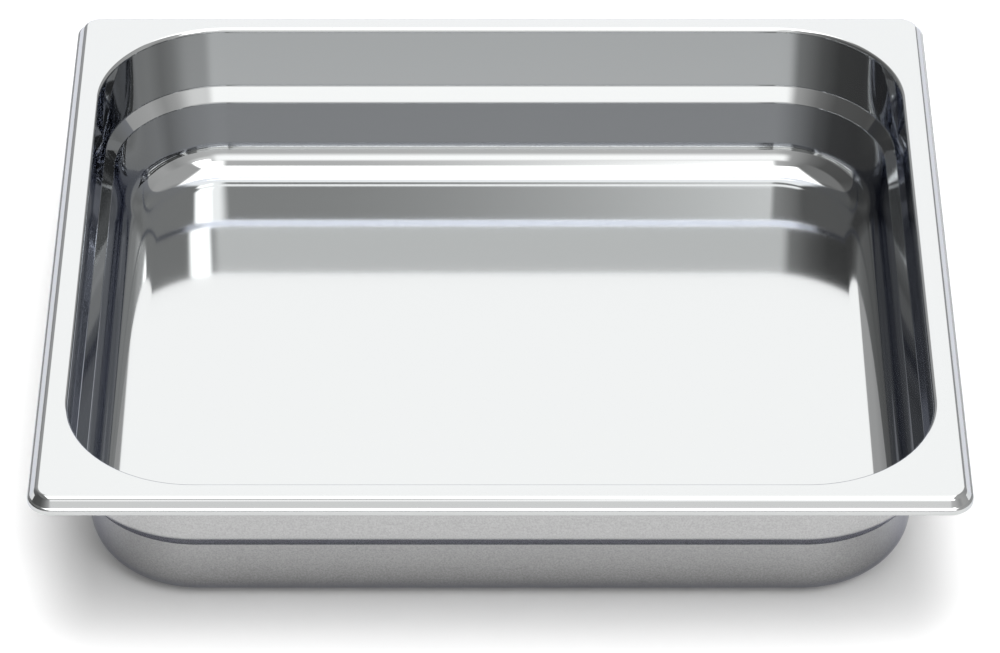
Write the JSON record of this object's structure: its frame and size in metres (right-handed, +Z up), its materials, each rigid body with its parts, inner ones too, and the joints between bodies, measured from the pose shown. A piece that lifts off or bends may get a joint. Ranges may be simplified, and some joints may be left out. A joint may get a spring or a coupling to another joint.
{
  "type": "gastronorm food pan",
  "caption": "Shallow rectangular stainless steel food pan with a flat flange, a stepped down-turned rim, a stacking shoulder and a rounded well.",
  "frame": {"origin": "centre of the pan's footprint, on the outside of the base it stands on", "axes": "+X along the longer side, +Y along the shorter side, +Z up, out of the open well"},
  "size_m": [0.354, 0.325, 0.065],
  "materials": {
    "stainless_steel": "deep-drawn stainless steel sheet, mirror-polished inside and on the flange, fine satin outside"
  },
  "bodies": {
    "root": {"pan": "stainless_steel"}
  },
  "joints": []
}
